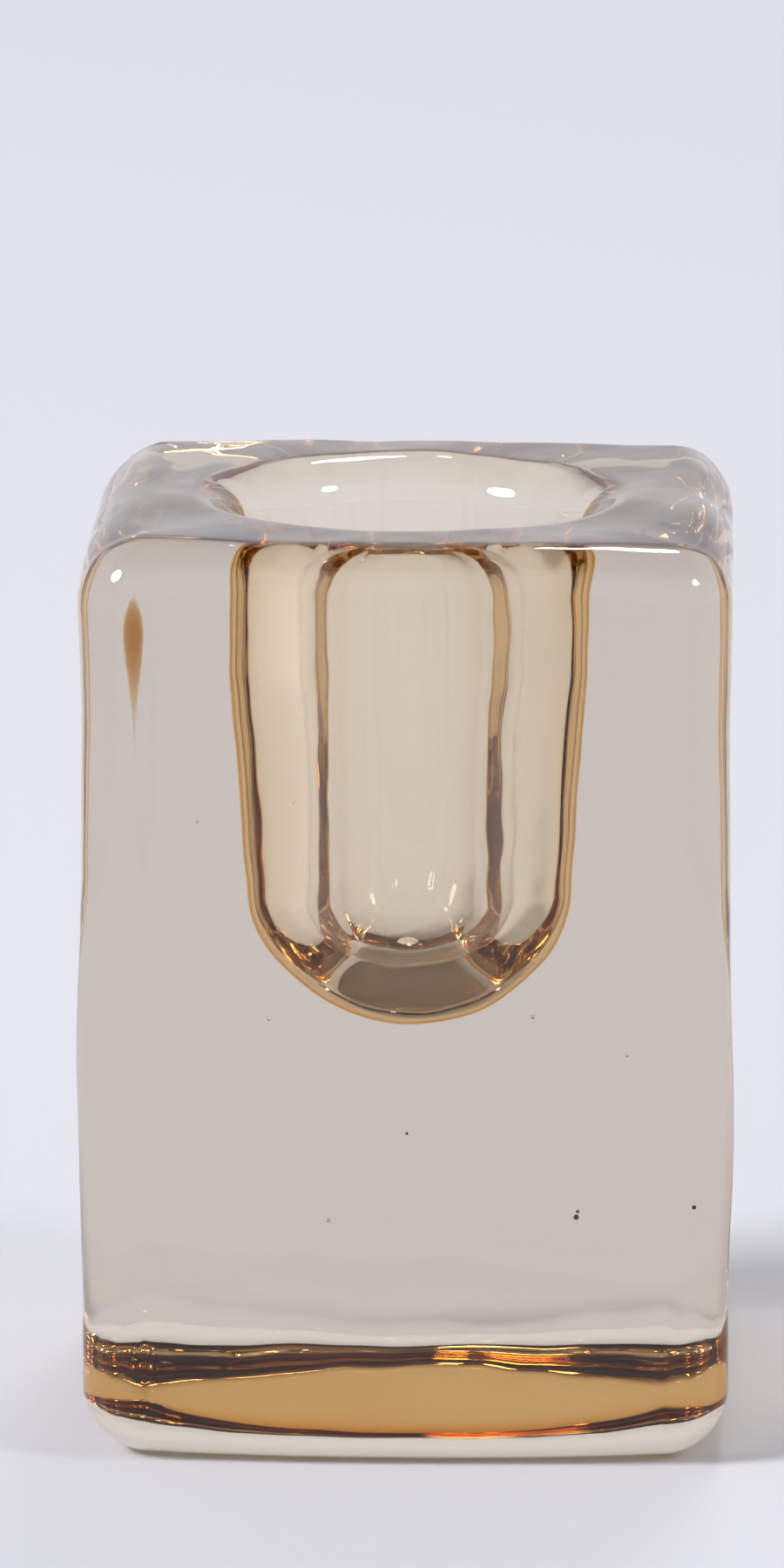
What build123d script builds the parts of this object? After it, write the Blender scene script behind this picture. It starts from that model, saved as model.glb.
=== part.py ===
from build123d import *
import os

# A pressed glass block candlestick: one thick square block with rounded edges and a round candle well.
#
# The block is about 46 mm square and 65 mm tall. Its walls are not quite flat: they stand upright above the
# foot, swell low down, draw in above the middle and swell again in a soft lip under the top edge, as pressed
# glass does when it leaves the mould hot. The well has a wide rolled mouth, a short straight band, a long
# draft and a bowl-shaped bottom. The underside is ground flat.
#
# Frame: origin at the middle of the base, on the surface that the block stands on; +Z up through the well.
# The four sides are alike; -Y is taken as the front. Units are millimetres.

# Block
height = 65.3
waist_half = 22.5  # half the width at the narrowest part, above the middle
belly_half = 22.88  # half the width at the widest part, low down
lip_half = 22.7  # half the width at the lip under the top edge
foot_half = 22.62  # half the width where the wall turns into the bottom rounding
waist_z = 51.0
belly_z = 21.0
corner_radius = 4.8  # upright corners, at the belly
top_rounding = 3.2
foot_rounding = 3.2

# Candle well
well_radius = 12.2  # the straight band that the candle enters by
well_depth = 36.7
mouth_rounding = 3.6
band_length = 8.0
bowl_radius = 11.3  # where the draft ends and the bowl begins
bowl_depth = 10.0

corner_axis = belly_half - corner_radius  # the upright corners turn about these lines


def wall_outline(first_x):
    """Half of the block's section between the line x = first_x and the wall."""
    foot_start = (foot_half - foot_rounding, 0)
    wall_foot = (foot_half, foot_rounding)
    wall_top = (lip_half, height - top_rounding)
    top_end = (lip_half - top_rounding, height)
    foot = RadiusArc(foot_start, wall_foot, -foot_rounding)
    wall = Spline(
        wall_foot,
        (belly_half, belly_z),
        (waist_half, waist_z),
        wall_top,
        tangents=[(0, 1), (0, 1)],
    )
    top = RadiusArc(wall_top, top_end, -top_rounding)
    rest = Polyline(top_end, (first_x, height), (first_x, 0), foot_start)
    return make_face(Wire([foot, wall, top, *rest.edges()]))


def slab(turn):
    """The wall outline and its mirror image, as long as the flat of the wall, turned about Z."""
    half = Plane.XZ * wall_outline(0)
    bar = extrude(half, corner_axis, both=True)
    bar += mirror(bar, Plane.YZ)
    return Rot(0, 0, turn) * bar


def corner_post(x, y):
    """One upright corner, turned about its own line, so that it runs smoothly into both walls."""
    outline = Plane.XZ * wall_outline(corner_axis)
    post = revolve(outline, Axis((corner_axis, 0, 0), (0, 0, 1)))
    return Pos(x - corner_axis, y, 0) * post


def block():
    """The whole outside of the block, solid."""
    body = slab(0) + slab(90)
    for x in (-corner_axis, corner_axis):
        for y in (-corner_axis, corner_axis):
            body += corner_post(x, y)
    return body


def candle_well():
    """The space of the well, with its rolled mouth."""
    floor_z = height - well_depth
    bowl_z = floor_z + bowl_depth
    band_top = height - mouth_rounding
    band_foot = band_top - band_length
    mouth_radius = well_radius + mouth_rounding
    clear_z = height + 1
    bowl = EllipticalCenterArc((0, bowl_z), bowl_radius, bowl_depth, start_angle=270, arc_size=90)
    wall = Polyline((bowl_radius, bowl_z), (well_radius, band_foot), (well_radius, band_top))
    mouth = RadiusArc((well_radius, band_top), (mouth_radius, height), mouth_rounding)
    rest = Polyline((mouth_radius, height), (mouth_radius, clear_z), (0, clear_z), (0, floor_z))
    outline = make_face(Wire([bowl, *wall.edges(), mouth, *rest.edges()]))
    return revolve(Plane.XZ * outline, Axis.Z)


glass_block = block() - candle_well()

os.makedirs("parts", exist_ok=True)
export_step(glass_block, "parts/glass_block.step")
print("volume cm3", round(glass_block.volume / 1000, 2), "box", glass_block.bounding_box())
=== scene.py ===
"""The looks of a pressed glass block candlestick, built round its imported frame, in metres."""

import math

import bpy
import numpy as np
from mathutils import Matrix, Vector


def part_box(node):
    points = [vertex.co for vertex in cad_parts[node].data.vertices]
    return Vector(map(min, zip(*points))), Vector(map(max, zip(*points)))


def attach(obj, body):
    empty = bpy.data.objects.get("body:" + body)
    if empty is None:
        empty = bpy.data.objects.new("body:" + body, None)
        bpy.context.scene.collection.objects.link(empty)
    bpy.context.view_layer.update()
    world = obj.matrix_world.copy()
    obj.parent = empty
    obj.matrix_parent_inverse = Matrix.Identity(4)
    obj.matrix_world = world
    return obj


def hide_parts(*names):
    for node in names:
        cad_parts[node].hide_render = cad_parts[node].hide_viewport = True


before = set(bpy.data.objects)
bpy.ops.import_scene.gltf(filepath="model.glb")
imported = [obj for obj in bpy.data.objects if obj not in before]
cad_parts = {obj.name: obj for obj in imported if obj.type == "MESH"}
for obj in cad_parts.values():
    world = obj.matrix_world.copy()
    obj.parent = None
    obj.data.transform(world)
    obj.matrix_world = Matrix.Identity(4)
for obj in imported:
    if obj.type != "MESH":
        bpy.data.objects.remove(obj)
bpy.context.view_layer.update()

MM = 0.001
node_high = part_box("glass_block")[1]
HEIGHT = node_high.z
BELLY = node_high.x  # half the width at the widest part


# ---------------------------------------------------------------- camera
LENS_MM = 260.0
SENSOR_MM = 36.0
CAMERA_PLACE = Vector((0.431 * 45 * MM, -787.5 * MM, 208.5 * MM))
CAMERA_TARGET = Vector((-1.4 * MM, 0, 44.05 * MM))


def add_camera():
    data = bpy.data.cameras.new("camera")
    data.lens = LENS_MM
    data.sensor_width = SENSOR_MM
    camera = bpy.data.objects.new("camera", data)
    bpy.context.scene.collection.objects.link(camera)
    camera.location = CAMERA_PLACE
    camera.rotation_euler = (CAMERA_TARGET - CAMERA_PLACE).to_track_quat("-Z", "Y").to_euler()
    data.clip_start = 0.01
    data.clip_end = 100
    bpy.context.scene.camera = camera


# ---------------------------------------------------------------- shape
CORNER_RADIUS = 4.8 * MM
CORNER_AXIS = BELLY - CORNER_RADIUS
FOOT = BELLY - 0.26 * MM
WAIST = BELLY - 0.38 * MM
LIP = BELLY - 0.18 * MM
BELLY_Z = 21 * MM
WAIST_Z = 51 * MM
FOOT_ROUNDING = 3.35 * MM  # in the middle of each side
BACK_FOOT_ROUNDING = 2.4 * MM  # how deep the back foot's rounding is, in the middle
BACK_FOOT_GAIN = 1.7 * MM
BACK_FOOT_HEIGHT = 2.7 * MM  # the least height of the back foot's rounding
FOOT_WAVES = 0.13 * MM
FOOT_CORNER_ROUNDING = 4.9 * MM
FOOT_FLARE = 0.68 * MM  # the front wall spreads a little just above the foot
FLARE_HEIGHT = 13 * MM
UPRIGHT_HEIGHT = 9 * MM  # below this the walls do not lean in
FLAT_RADIUS = 18.5 * MM  # round rings inside it, square rings outside
TOP_ROUNDING = 3.2 * MM
TOP_CORNER_GAIN = 1.0 * MM
TOP_LEFT_GAIN = 0.9 * MM
WELL_RADIUS = 12.33 * MM
WELL_DEPTH = 36.7 * MM
MOUTH_ROUNDING = 3.6 * MM
BAND_LENGTH = 8 * MM
BOWL_RADIUS = 11.3 * MM
BOWL_DEPTH = 10 * MM
SKIN_DEPTH = 0.22 * MM  # the amber layer under the surface
WELL_SKIN_DEPTH = 0.15 * MM
SKIN_GAP = 0.03 * MM

WOBBLE = 0.05 * MM
RIPPLE = 0.006 * MM
TOP_LEAN = 0.0022  # the left side stands a little taller than the right

# Mesh steps: once round the block, and from ring to ring
STRAIGHT_STEPS = 36
CORNER_STEPS = 24
FLAT_STEPS = 10
FLAT_EDGE_STEPS = 6
FOOT_STEPS = 40
WALL_STEPS = 80
EDGE_STEPS = 24
TOP_STEPS = 6
BAND_STEPS = 12
WELL_STEPS = 24
BOWL_STEPS = 40


def around():
    """Start points on the square of the corner axes and outward normals, once round the block."""
    starts, normals = [], []
    for side in range(4):
        turn = side * math.pi / 2
        across = np.array((-math.sin(turn), math.cos(turn)))
        out = np.array((math.cos(turn), math.sin(turn)))
        for i in range(STRAIGHT_STEPS):
            t = -1 + 2 * i / STRAIGHT_STEPS
            starts.append(CORNER_AXIS * (out + t * across))
            normals.append(out)
        for i in range(CORNER_STEPS):
            angle = turn + math.pi / 2 * i / CORNER_STEPS
            starts.append(CORNER_AXIS * (out + across))
            normals.append(np.array((math.cos(angle), math.sin(angle))))
    return np.array(starts), np.array(normals)


STARTS, NORMALS = around()
WALL_RING = STARTS + CORNER_RADIUS * NORMALS
BEARINGS = WALL_RING / np.linalg.norm(WALL_RING, axis=1)[:, None]


def square_ring(half, z):
    reach = np.broadcast_to(np.maximum(half - CORNER_AXIS, 0.03 * MM), len(STARTS))
    return np.column_stack([STARTS + reach[:, None] * NORMALS, np.broadcast_to(z, len(STARTS))])


def round_ring(radius, z):
    return np.column_stack([radius * BEARINGS, np.full(len(BEARINGS), z)])


def between(first, last, steps):
    """The rings between two rings, without the ends."""
    return [first + (last - first) * i / steps for i in range(1, steps)]


def eased(a, b, t):
    return a + (b - a) * (1 - np.cos(math.pi * np.clip(t, 0, 1))) / 2


def wall_half(z):
    """Half the width of the block at height z."""
    low = eased(FOOT, BELLY, (z - UPRIGHT_HEIGHT) / (BELLY_Z - UPRIGHT_HEIGHT))
    middle = eased(BELLY, WAIST, (z - BELLY_Z) / (WAIST_Z - BELLY_Z))
    high = eased(WAIST, LIP, (z - WAIST_Z) / (HEIGHT - TOP_ROUNDING - WAIST_Z))
    flare = FOOT_FLARE * np.clip(1 - z / FLARE_HEIGHT, 0, 1) ** 1.5 * np.clip(-NORMALS[:, 1], 0, 1) ** 2
    return np.where(z < BELLY_Z, low, np.where(z < WAIST_Z, middle, high)) + flare


def foot_sizes():
    """How deep and how high the foot's rounding is, once round the block; its height wavers at the back."""
    x, y = STARTS.T / CORNER_AXIS
    along = np.minimum(np.abs(x), np.abs(y))
    even = FOOT_ROUNDING + (FOOT_CORNER_ROUNDING - FOOT_ROUNDING) * along**2.5
    back = BACK_FOOT_ROUNDING + BACK_FOOT_GAIN * np.clip(along / 0.7, 0, 1) ** 1.8
    back = back + (FOOT_CORNER_ROUNDING - BACK_FOOT_ROUNDING - BACK_FOOT_GAIN) * along**8
    waves = np.sin(STARTS[:, 0] / (1.6 * MM) + 0.8) + 0.7 * np.sin(STARTS[:, 0] / (2.9 * MM) + 2)
    back_height = np.maximum(back, BACK_FOOT_HEIGHT + (back - BACK_FOOT_HEIGHT) * 0.15) + FOOT_WAVES * waves
    behind = NORMALS[:, 1] > 0.7
    return np.where(behind, back, even), np.where(behind, back_height, even)


def top_radii():
    """The rounding of the top edge, once round the block; the left edge is the softest."""
    x, y = STARTS.T / CORNER_AXIS
    along = np.minimum(np.abs(x), np.abs(y))
    left = np.clip(-NORMALS[:, 0], 0, 1) ** 2
    return TOP_ROUNDING + TOP_CORNER_GAIN * along**6 + TOP_LEFT_GAIN * left


def glass_rings():
    """Rings from the middle of the underside, up the outside, over the mouth and down the well."""
    foot_depth, foot_height = foot_sizes()
    top_radius = top_radii()
    rings = []
    rim = round_ring(FLAT_RADIUS, 0)
    rings += [*between(round_ring(0, 0), rim, FLAT_STEPS), rim]
    foot_half = wall_half(foot_height)
    foot_edge = square_ring(foot_half - foot_depth, 0)
    rings += between(rim, foot_edge, FLAT_EDGE_STEPS)
    for i in range(FOOT_STEPS + 1):
        angle = math.pi / 2 * i / FOOT_STEPS
        half = foot_half - foot_depth * (1 - math.sin(angle))
        rings.append(square_ring(half, foot_height * (1 - math.cos(angle))))
    for i in range(1, WALL_STEPS):
        z = foot_height + (HEIGHT - top_radius - foot_height) * i / WALL_STEPS
        rings.append(square_ring(wall_half(z), z))
    for i in range(EDGE_STEPS + 1):
        angle = math.pi / 2 * i / EDGE_STEPS
        half = LIP - top_radius * (1 - math.cos(angle))
        rings.append(square_ring(half, HEIGHT - top_radius * (1 - math.sin(angle))))
    mouth = WELL_RADIUS + MOUTH_ROUNDING
    rings += between(rings[-1], round_ring(mouth, HEIGHT), TOP_STEPS)
    for i in range(EDGE_STEPS + 1):
        angle = math.pi / 2 * i / EDGE_STEPS
        radius = mouth - MOUTH_ROUNDING * math.sin(angle)
        rings.append(round_ring(radius, HEIGHT - MOUTH_ROUNDING * (1 - math.cos(angle))))
    band_foot = HEIGHT - MOUTH_ROUNDING - BAND_LENGTH
    bowl_z = HEIGHT - WELL_DEPTH + BOWL_DEPTH
    rings += between(rings[-1], round_ring(WELL_RADIUS, band_foot), BAND_STEPS)
    rings += [round_ring(WELL_RADIUS, band_foot)]
    rings += between(rings[-1], round_ring(BOWL_RADIUS, bowl_z), WELL_STEPS)
    for i in range(BOWL_STEPS):
        angle = math.pi / 2 * i / BOWL_STEPS
        rings.append(round_ring(BOWL_RADIUS * math.cos(angle), bowl_z - BOWL_DEPTH * math.sin(angle)))
    return rings


def closed_shape():
    """Points and faces of the block's surface, with the faces wound outward."""
    rings = glass_rings()
    count = len(rings[0])
    points = np.vstack([[(0, 0, 0)], *rings, [(0, 0, HEIGHT - WELL_DEPTH)]])
    steps = np.arange(count)
    nexts = (steps + 1) % count
    last = len(points) - 1
    faces = [(0, 1 + j, 1 + i) for i, j in zip(steps, nexts)]
    for r in range(len(rings) - 1):
        a, b = 1 + r * count, 1 + (r + 1) * count
        faces += [(a + i, a + j, b + j, b + i) for i, j in zip(steps, nexts)]
    top = 1 + (len(rings) - 1) * count
    faces += [(top + i, top + j, last) for i, j in zip(steps, nexts)]
    return points, faces


def point_normals(points, faces):
    normals = np.zeros_like(points)
    for size in (3, 4):
        corners = np.array([face for face in faces if len(face) == size])
        a, b, c, d = (points[corners[:, i]] for i in (0, 1, 2, size - 1))
        across = np.cross(c - a, d - b) if size == 4 else np.cross(b - a, c - a)
        for i in range(size):
            np.add.at(normals, corners[:, i], across)
    return normals / np.linalg.norm(normals, axis=1)[:, None]


def waves(points, chance, count, shortest, longest):
    """A sum of random plane waves, about 1 high."""
    total = np.zeros(len(points))
    for _ in range(count):
        way = chance.normal(size=3)
        way *= 2 * math.pi / chance.uniform(shortest, longest) / np.linalg.norm(way)
        total += np.sin(points @ way + chance.uniform(0, 2 * math.pi))
    return total / math.sqrt(count / 2)


def wobble(points, normals):
    """The unevenness of hand-pressed glass, in metres along the normals; the foot's flat stays flat."""
    chance = np.random.RandomState(11)
    broad = WOBBLE * waves(points, chance, 14, 9 * MM, 26 * MM) * np.clip(points[:, 2] / (4 * MM), 0, 1)
    fine = RIPPLE * waves(points, chance, 24, 2.5 * MM, 6 * MM) * np.clip(points[:, 2] / (1 * MM), 0, 1)
    return (broad + fine) * (1 + 0.8 * np.clip(normals[:, 2], 0, 1))


def drop(centre, profile, sides=20):
    """A small closed body turned about Z, as points and faces; profile holds (radius, z) from its foot."""
    points = [(centre[0], centre[1], centre[2] + profile[0][1])]
    for radius, z in profile[1:-1]:
        for i in range(sides):
            angle = 2 * math.pi * i / sides
            x, y = centre[0] + radius * math.cos(angle), centre[1] + radius * math.sin(angle)
            points.append((x, y, centre[2] + z))
    points.append((centre[0], centre[1], centre[2] + profile[-1][1]))
    last = len(points) - 1
    faces = [(0, 1 + (i + 1) % sides, 1 + i) for i in range(sides)]
    for r in range(len(profile) - 3):
        a, b = 1 + r * sides, 1 + (r + 1) * sides
        faces += [(a + i, a + (i + 1) % sides, b + (i + 1) % sides, b + i) for i in range(sides)]
    faces += [(last - sides + i, last - sides + (i + 1) % sides, last) for i in range(sides)]
    return np.array(points), faces


def ball_profile(radius, steps=10):
    angles = [math.pi * i / steps for i in range(steps + 1)]
    return [(radius * math.sin(a), -radius * math.cos(a)) for a in angles]


def tear_profile(radius, length, steps=28):
    """A tear with its round head up and a long thin tail."""
    profile = []
    for i in range(steps + 1):
        t = i / steps
        profile.append((radius * math.sin(math.pi * t**3) ** 0.8 if 0 < i < steps else 0, length * t))
    return profile


TEAR_PLACE = (-18.6 * MM, -20.6 * MM, 48.6 * MM)
TEAR_RADIUS = 0.62 * MM
TEAR_LENGTH = 13 * MM
SPECK_Y = -21.3 * MM
SPECKS = [(12.0, 17.9, 0.19), (12.1, 18.3, 0.12), (20.0, 18.6, 0.15), (0.2, 23.8, 0.1)]  # x, z, radius (mm)
BUBBLES = [  # x, y, z, radius (mm)
    (-3.4, -14.5, 37.5, 0.13),
    (-2.6, -14.4, 37.7, 0.1),
    (8.9, -13.8, 31, 0.16),
    (-9.6, -12.6, 30.5, 0.14),
    (-14.5, -8, 44, 0.12),
    (15.5, -9, 27.5, 0.12),
    (-6, 14, 12, 0.15),
]
CLEAR, LAYER, TEAR, SPECK = range(4)  # material numbers


def flaws():
    """Caught in the glass: (points, faces, material number) of an amber tear, specks and seed bubbles."""
    found = [(*drop(TEAR_PLACE, tear_profile(TEAR_RADIUS, TEAR_LENGTH)), TEAR)]
    for x, z, radius in SPECKS:
        found.append((*drop((x * MM, SPECK_Y, z * MM), ball_profile(radius * MM)), SPECK))
    for x, y, z, radius in BUBBLES:
        points, faces = drop((x * MM, y * MM, z * MM), ball_profile(radius * MM))
        found.append((points, [tuple(reversed(face)) for face in faces], CLEAR))
    return found


def glass_mesh():
    """The surface of the glass, and inside it the two sides of the thin amber layer."""
    points, faces = closed_shape()
    normals = point_normals(points, faces)
    points = points + wobble(points, normals)[:, None] * normals
    points[:, 2] *= 1 - TOP_LEAN * points[:, 0] / BELLY
    normals = point_normals(points, faces)
    reach = np.linalg.norm(points[:, :2], axis=1)
    in_well = (reach < WELL_RADIUS + 0.5 * MM) & (points[:, 2] > 10 * MM)
    depth = SKIN_GAP + np.where(in_well, WELL_SKIN_DEPTH, SKIN_DEPTH)[:, None]
    turned = [tuple(reversed(face)) for face in faces]
    skin_outside, skin_inside = points - SKIN_GAP * normals, points - depth * normals
    parts = [(points, faces, CLEAR), (skin_outside, faces, LAYER), (skin_inside, turned, LAYER), *flaws()]
    all_points, all_faces, slots = [], [], []
    for part_points, part_faces, slot in parts:
        start = sum(len(done) for done in all_points)
        all_faces += [tuple(int(v) + start for v in face) for face in part_faces]
        all_points.append(part_points)
        slots += [slot] * len(part_faces)
    mesh = bpy.data.meshes.new("glass")
    mesh.from_pydata(np.vstack(all_points).tolist(), [], all_faces)
    mesh.polygons.foreach_set("material_index", slots)
    mesh.shade_smooth()
    return mesh


def glass_material():
    material = bpy.data.materials.new("pressed_glass")
    material.use_nodes = True
    nodes, links = material.node_tree.nodes, material.node_tree.links
    shader = nodes["Principled BSDF"]
    shader.inputs["Base Color"].default_value = (1, 1, 1, 1)
    shader.inputs["Roughness"].default_value = 0
    shader.inputs["IOR"].default_value = 1.52
    shader.inputs["Transmission Weight"].default_value = 1
    absorption = nodes.new("ShaderNodeVolumeAbsorption")
    absorption.inputs["Color"].default_value = (0.13, 0.04, 0.17, 1)
    absorption.inputs["Density"].default_value = 7.0
    links.new(absorption.outputs["Volume"], nodes["Material Output"].inputs["Volume"])
    return material


def amber_material(name, colour, density):
    """Amber glass inside the clear glass: no surface of its own, only absorption."""
    material = bpy.data.materials.new(name)
    material.use_nodes = True
    nodes, links = material.node_tree.nodes, material.node_tree.links
    nodes["Principled BSDF"].inputs["Alpha"].default_value = 0
    absorption = nodes.new("ShaderNodeVolumeAbsorption")
    absorption.inputs["Color"].default_value = (*colour, 1)
    absorption.inputs["Density"].default_value = density
    links.new(absorption.outputs["Volume"], nodes["Material Output"].inputs["Volume"])
    return material


def speck_material():
    material = bpy.data.materials.new("dark_speck")
    material.use_nodes = True
    shader = material.node_tree.nodes["Principled BSDF"]
    shader.inputs["Base Color"].default_value = (0.03, 0.022, 0.015, 1)
    shader.inputs["Roughness"].default_value = 0.8
    return material


def add_glass():
    glass = bpy.data.objects.new("pressed_glass_block", glass_mesh())
    bpy.context.scene.collection.objects.link(glass)
    glass.data.materials.append(glass_material())
    glass.data.materials.append(amber_material("amber_layer", (0.895, 0.643, 0.092), 770))
    glass.data.materials.append(amber_material("amber_tear", (0.83, 0.565, 0.10), 2500))
    glass.data.materials.append(speck_material())
    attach(glass, "root")
    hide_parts("glass_block")


# ---------------------------------------------------------------- studio
FLOOR_COLOUR = (0.50, 0.50, 0.54)
FLOOR_HALF_M = 1.2
FLOOR_DROP = 0.02 * MM  # keeps the floor clear of the flat underside


def floor_material():
    material = bpy.data.materials.new("floor")
    material.use_nodes = True
    shader = material.node_tree.nodes["Principled BSDF"]
    shader.inputs["Base Color"].default_value = (*FLOOR_COLOUR, 1)
    shader.inputs["Roughness"].default_value = 0.9
    return material


def add_floor():
    mesh = bpy.data.meshes.new("floor")
    half = FLOOR_HALF_M
    corners = [(-half, -half, 0), (half, -half, 0), (half, half, 0), (-half, half, 0)]
    mesh.from_pydata(corners, [], [(0, 1, 2, 3)])
    floor = bpy.data.objects.new("floor", mesh)
    floor.location.z = -FLOOR_DROP
    bpy.context.scene.collection.objects.link(floor)
    mesh.materials.append(floor_material())


# The dome's colour by the height of the direction, from the horizon (0) to straight up (1)
DOME = [
    (0.0, (0.92, 0.93, 0.98)),
    (0.12, (0.94, 0.95, 1.0)),
    (0.25, (0.85, 0.87, 0.93)),
    (0.55, (0.85, 0.88, 0.95)),
    (0.78, (0.45, 0.45, 0.45)),
    (0.88, (0.07, 0.06, 0.05)),
    (1.0, (0.04, 0.035, 0.03)),
]


def add_world():
    world = bpy.data.worlds.new("studio")
    bpy.context.scene.world = world
    world.use_nodes = True
    nodes, links = world.node_tree.nodes, world.node_tree.links
    background = nodes["Background"]
    coordinates = nodes.new("ShaderNodeTexCoord")
    split = nodes.new("ShaderNodeSeparateXYZ")
    ramp = nodes.new("ShaderNodeValToRGB")
    links.new(coordinates.outputs["Generated"], split.inputs[0])
    links.new(split.outputs["Z"], ramp.inputs["Fac"])
    links.new(ramp.outputs["Color"], background.inputs["Color"])
    ends = ramp.color_ramp.elements
    for element, (height, colour) in ((ends[0], DOME[0]), (ends[1], DOME[-1])):
        element.position, element.color = height, (*colour, 1)
    for height, colour in DOME[1:-1]:
        ramp.color_ramp.elements.new(height).color = (*colour, 1)
    background.inputs["Strength"].default_value = 1.0


# Soft round lamps: name, direction, distance and width (m), power (W)
LAMPS = [
    ("key", (-0.8, -0.35, 0.62), 3, 1.0, 115),
    ("fill", (0.7, -0.35, 0.62), 3, 0.6, 20),
    ("back", (0.1, 0.55, 0.83), 3, 0.6, 20),
]


def add_lamp(name, way, distance, size, energy):
    data = bpy.data.lights.new(name, "AREA")
    data.shape = "DISK"
    data.energy = energy
    data.size = size
    lamp = bpy.data.objects.new(name, data)
    lamp.location = way * distance
    lamp.rotation_euler = (-way).to_track_quat("-Z", "Y").to_euler()
    bpy.context.scene.collection.objects.link(lamp)


def add_lights():
    for name, way, distance, size, energy in LAMPS:
        add_lamp(name, Vector(way).normalized(), distance, size, energy)


add_camera()
add_glass()
add_floor()
add_world()
add_lights()

scene = bpy.context.scene
scene.view_settings.view_transform = "Standard"
scene.cycles.max_bounces = 32
scene.cycles.transmission_bounces = 32
scene.cycles.glossy_bounces = 16
scene.cycles.transparent_max_bounces = 128
